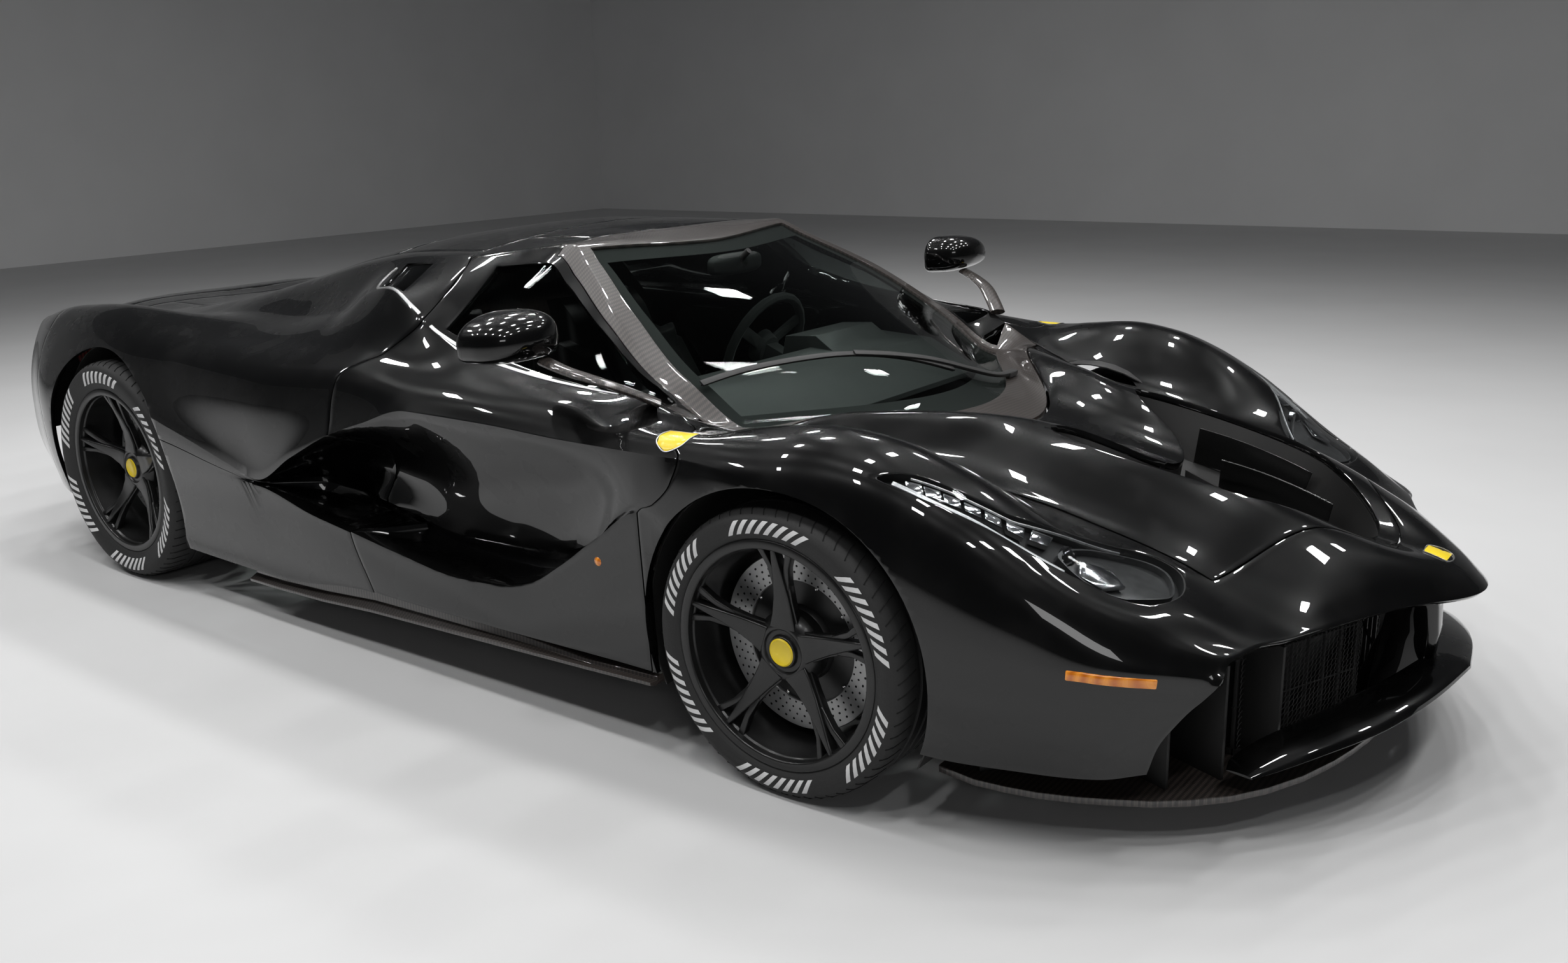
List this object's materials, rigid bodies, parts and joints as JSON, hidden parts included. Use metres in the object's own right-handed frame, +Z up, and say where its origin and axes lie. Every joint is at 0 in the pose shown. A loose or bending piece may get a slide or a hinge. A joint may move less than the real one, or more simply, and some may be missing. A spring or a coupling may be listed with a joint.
{
  "type": "mid-engined two-seat supercar",
  "caption": "Black mid-engined two-seat supercar with forward-opening doors, steering and turning wheels, opening front lid and engine cover, and a lifting rear wing.",
  "frame": {"origin": "floor under the middle of the body's length, on the centre plane", "axes": "+X forward along the length, +Y to the car's left, +Z up"},
  "size_m": [4.702, 2.1922, 1.1154],
  "materials": {
    "paint": "gloss",
    "carbon": "gloss",
    "black_plastic": "satin",
    "glass": "gloss",
    "lamp": "gloss",
    "steel": "satin",
    "engine_metal": "satin",
    "leather": "satin",
    "rubber": "matte",
    "rim": "satin",
    "disc": "satin"
  },
  "bodies": {
    "chassis": {"tub": "carbon", "underbody": "black_plastic", "front_clam": "paint", "front_aero": "carbon", "front_grilles": "black_plastic", "fixed_glass": "glass", "screen_frame": "carbon", "roof": "paint", "rear_clam": "paint", "rear_fascia": "black_plastic", "diffuser": "carbon", "exhausts": "steel", "side_sills": "paint", "lamps": "lamp", "seats": "leather", "dashboard": "leather", "steering_wheel": "leather", "engine": "engine_metal", "front_suspension": "engine_metal", "rear_suspension": "engine_metal", "wiper": "black_plastic"},
    "front_lid": {"front_lid": "paint"},
    "engine_cover": {"engine_cover": "paint", "engine_glass": "glass"},
    "rear_wing": {"rear_wing": "paint"},
    "door_left": {"door_left": "paint", "door_glass_left": "glass", "mirror_left": "paint"},
    "door_right": {"door_right": "paint", "door_glass_right": "glass", "mirror_right": "paint"},
    "steer_left": {"knuckle_left": "engine_metal"},
    "steer_right": {"knuckle_right": "engine_metal"},
    "wheel_front_left": {"tyre_front_left": "rubber", "rim_front_left": "rim", "disc_front_left": "disc"},
    "wheel_front_right": {"tyre_front_right": "rubber", "rim_front_right": "rim", "disc_front_right": "disc"},
    "wheel_rear_left": {"tyre_rear_left": "rubber", "rim_rear_left": "rim", "disc_rear_left": "disc"},
    "wheel_rear_right": {"tyre_rear_right": "rubber", "rim_rear_right": "rim", "disc_rear_right": "disc"}
  },
  "joints": [
    {"name": "steer_left", "type": "hinge", "parent": "chassis", "child": "steer_left", "pos_m": [1.186, 0.76, 0.321], "axis": [0, 0, 1], "range_deg": [-28, 28]},
    {"name": "steer_right", "type": "hinge", "parent": "chassis", "child": "steer_right", "pos_m": [1.186, -0.76, 0.321], "axis": [0, 0, 1], "range_deg": [-28, 28]},
    {"name": "spin_front_left", "type": "hinge", "parent": "steer_left", "child": "wheel_front_left", "pos_m": [1.186, 0.82, 0.321], "axis": [0, 1, 0], "continuous": true},
    {"name": "spin_front_right", "type": "hinge", "parent": "steer_right", "child": "wheel_front_right", "pos_m": [1.186, -0.82, 0.321], "axis": [0, 1, 0], "continuous": true},
    {"name": "spin_rear_left", "type": "hinge", "parent": "chassis", "child": "wheel_rear_left", "pos_m": [-1.464, 0.8, 0.3575], "axis": [0, 1, 0], "continuous": true},
    {"name": "spin_rear_right", "type": "hinge", "parent": "chassis", "child": "wheel_rear_right", "pos_m": [-1.464, -0.8, 0.3575], "axis": [0, 1, 0], "continuous": true},
    {"name": "door_right_hinge", "type": "hinge", "parent": "chassis", "child": "door_right", "pos_m": [0.956, -0.945, 0.715], "axis": [0, 0.7001, 0.7141], "range_deg": [0, 65]},
    {"name": "door_left_hinge", "type": "hinge", "parent": "chassis", "child": "door_left", "pos_m": [0.956, 0.945, 0.715], "axis": [0, 0.7001, -0.7141], "range_deg": [0, 65]},
    {"name": "front_lid_hinge", "type": "hinge", "parent": "chassis", "child": "front_lid", "pos_m": [0.965, 0, 0.713], "axis": [0, -1, 0], "range_deg": [0, 50]},
    {"name": "engine_cover_hinge", "type": "hinge", "parent": "chassis", "child": "engine_cover", "pos_m": [-0.539, 0, 1.079], "axis": [0, 1, 0], "range_deg": [0, 45]},
    {"name": "rear_wing_lift", "type": "slide", "parent": "chassis", "child": "rear_wing", "axis": [0, 0, 1], "range_m": [0, 0.07]}
  ],
  "couplings": [
    {"joint": "steer_right", "follows": "steer_left", "ratio": 1}
  ]
}
